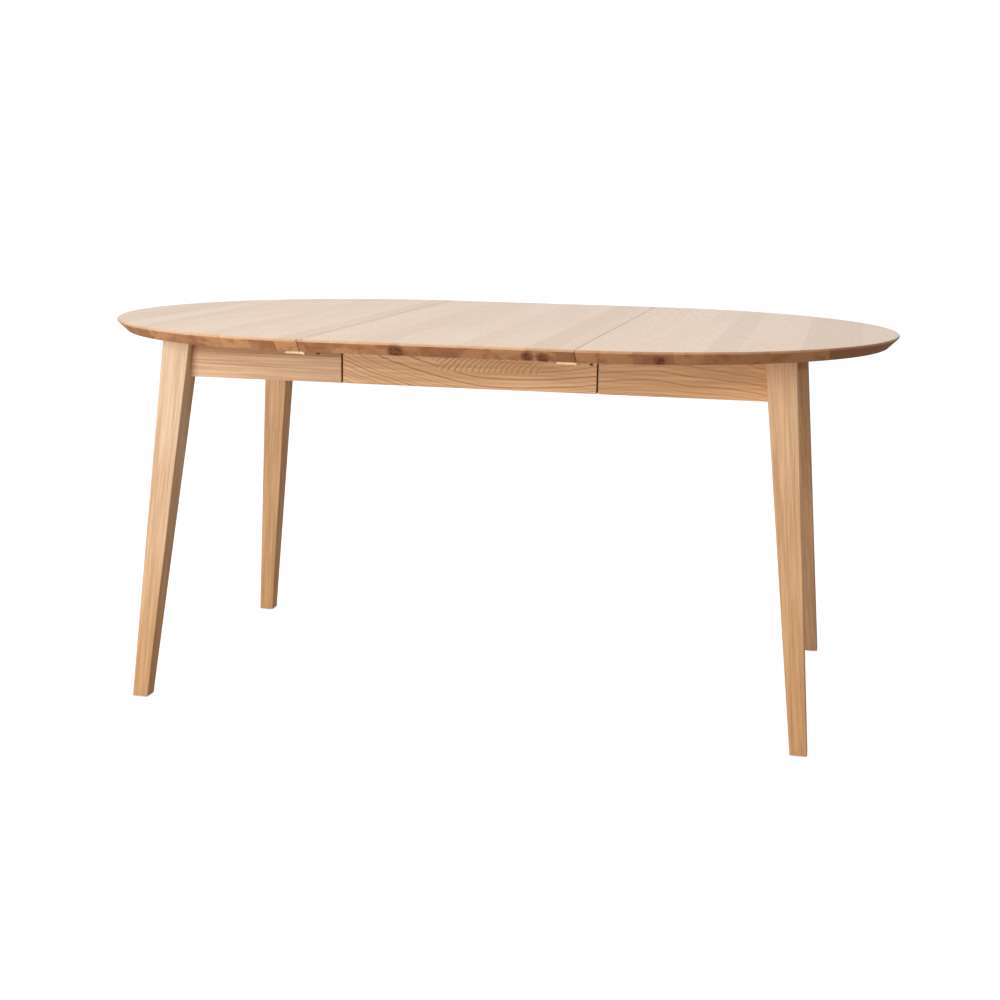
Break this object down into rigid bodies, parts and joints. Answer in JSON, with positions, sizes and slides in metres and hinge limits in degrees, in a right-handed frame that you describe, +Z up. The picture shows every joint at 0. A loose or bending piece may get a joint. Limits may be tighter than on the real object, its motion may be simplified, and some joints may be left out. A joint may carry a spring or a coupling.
{
  "type": "extending dining table",
  "caption": "Round extending dining table on splayed tapered legs, its two halves drawn apart on dovetail slides with a loose leaf locked between them.",
  "frame": {"origin": "On the floor, under the middle of the leaf.", "axes": "+X is the way the right half draws out, +Y runs from the front side to the back side, +Z is up."},
  "size_m": [1.5998, 1.1, 0.755],
  "materials": {
    "oak_top": "oiled solid oak staves, matt",
    "oak_apron": "oiled solid oak, matt",
    "oak_leg": "oiled solid oak, matt",
    "beech": "planed and waxed beech",
    "zinc_steel": "bright zinc plate",
    "brass": "brushed brass",
    "nylon": "moulded nylon"
  },
  "bodies": {
    "left_half": {"left_top": "oak_top", "left_end_apron": "oak_apron", "left_brackets": "zinc_steel", "left_leg_bolts": "zinc_steel", "left_leg_nuts": "zinc_steel", "left_glides": "nylon", "left_stop_blocks": "beech", "left_front_apron": "oak_apron", "left_front_leg": "oak_leg", "left_front_corner_block": "beech", "left_front_rail": "beech", "left_back_apron": "oak_apron", "left_back_leg": "oak_leg", "left_back_corner_block": "beech", "left_back_rail": "beech", "left_front_lock_plate": "brass", "left_front_lock_rivet": "brass", "left_back_lock_plate": "brass", "left_back_lock_rivet": "brass"},
    "right_half": {"right_top": "oak_top", "right_end_apron": "oak_apron", "right_brackets": "zinc_steel", "right_leg_bolts": "zinc_steel", "right_leg_nuts": "zinc_steel", "right_glides": "nylon", "right_stop_blocks": "beech", "right_front_apron": "oak_apron", "right_front_leg": "oak_leg", "right_front_corner_block": "beech", "right_front_rail": "beech", "right_back_apron": "oak_apron", "right_back_leg": "oak_leg", "right_back_corner_block": "beech", "right_back_rail": "beech", "right_front_keeper": "brass", "right_front_keeper_stud": "brass", "right_back_keeper": "brass", "right_back_keeper_stud": "brass"},
    "leaf": {"leaf_top": "oak_top", "leaf_brackets": "zinc_steel", "leaf_front_apron": "oak_apron", "leaf_back_apron": "oak_apron", "leaf_front_lock_plate": "brass", "leaf_front_lock_rivet": "brass", "leaf_front_keeper": "brass", "leaf_front_keeper_stud": "brass", "leaf_back_lock_plate": "brass", "leaf_back_lock_rivet": "brass", "leaf_back_keeper": "brass", "leaf_back_keeper_stud": "brass"},
    "front_middle_rail": {"front_middle_rail": "beech"},
    "back_middle_rail": {"back_middle_rail": "beech"},
    "left_front_lock_hook": {"left_front_lock_hook": "brass"},
    "left_back_lock_hook": {"left_back_lock_hook": "brass"},
    "leaf_front_lock_hook": {"leaf_front_lock_hook": "brass"},
    "leaf_back_lock_hook": {"leaf_back_lock_hook": "brass"}
  },
  "joints": [
    {"name": "right_half_slide", "type": "slide", "parent": "left_half", "child": "right_half", "axis": [1, 0, 0], "range_m": [0, 0.08]},
    {"name": "front_middle_rail_slide", "type": "slide", "parent": "left_half", "child": "front_middle_rail", "axis": [1, 0, 0], "range_m": [0, 0.04]},
    {"name": "back_middle_rail_slide", "type": "slide", "parent": "left_half", "child": "back_middle_rail", "axis": [1, 0, 0], "range_m": [0, 0.04]},
    {"name": "leaf_lift", "type": "slide", "parent": "left_half", "child": "leaf", "axis": [0, 0, 1], "range_m": [0, 0.2]},
    {"name": "left_front_lock_swing", "type": "hinge", "parent": "left_half", "child": "left_front_lock_hook", "pos_m": [-0.257, -0.49, 0.7258], "axis": [0, 0, -1], "range_deg": [0, 180]},
    {"name": "left_back_lock_swing", "type": "hinge", "parent": "left_half", "child": "left_back_lock_hook", "pos_m": [-0.257, 0.49, 0.7258], "axis": [0, 0, 1], "range_deg": [0, 180]},
    {"name": "leaf_front_lock_swing", "type": "hinge", "parent": "leaf", "child": "leaf_front_lock_hook", "pos_m": [0.243, -0.49, 0.7258], "axis": [0, 0, -1], "range_deg": [0, 180]},
    {"name": "leaf_back_lock_swing", "type": "hinge", "parent": "leaf", "child": "leaf_back_lock_hook", "pos_m": [0.243, 0.49, 0.7258], "axis": [0, 0, 1], "range_deg": [0, 180]}
  ],
  "couplings": [
    {"joint": "front_middle_rail_slide", "follows": "right_half_slide", "ratio": 0.5},
    {"joint": "back_middle_rail_slide", "follows": "right_half_slide", "ratio": 0.5}
  ]
}
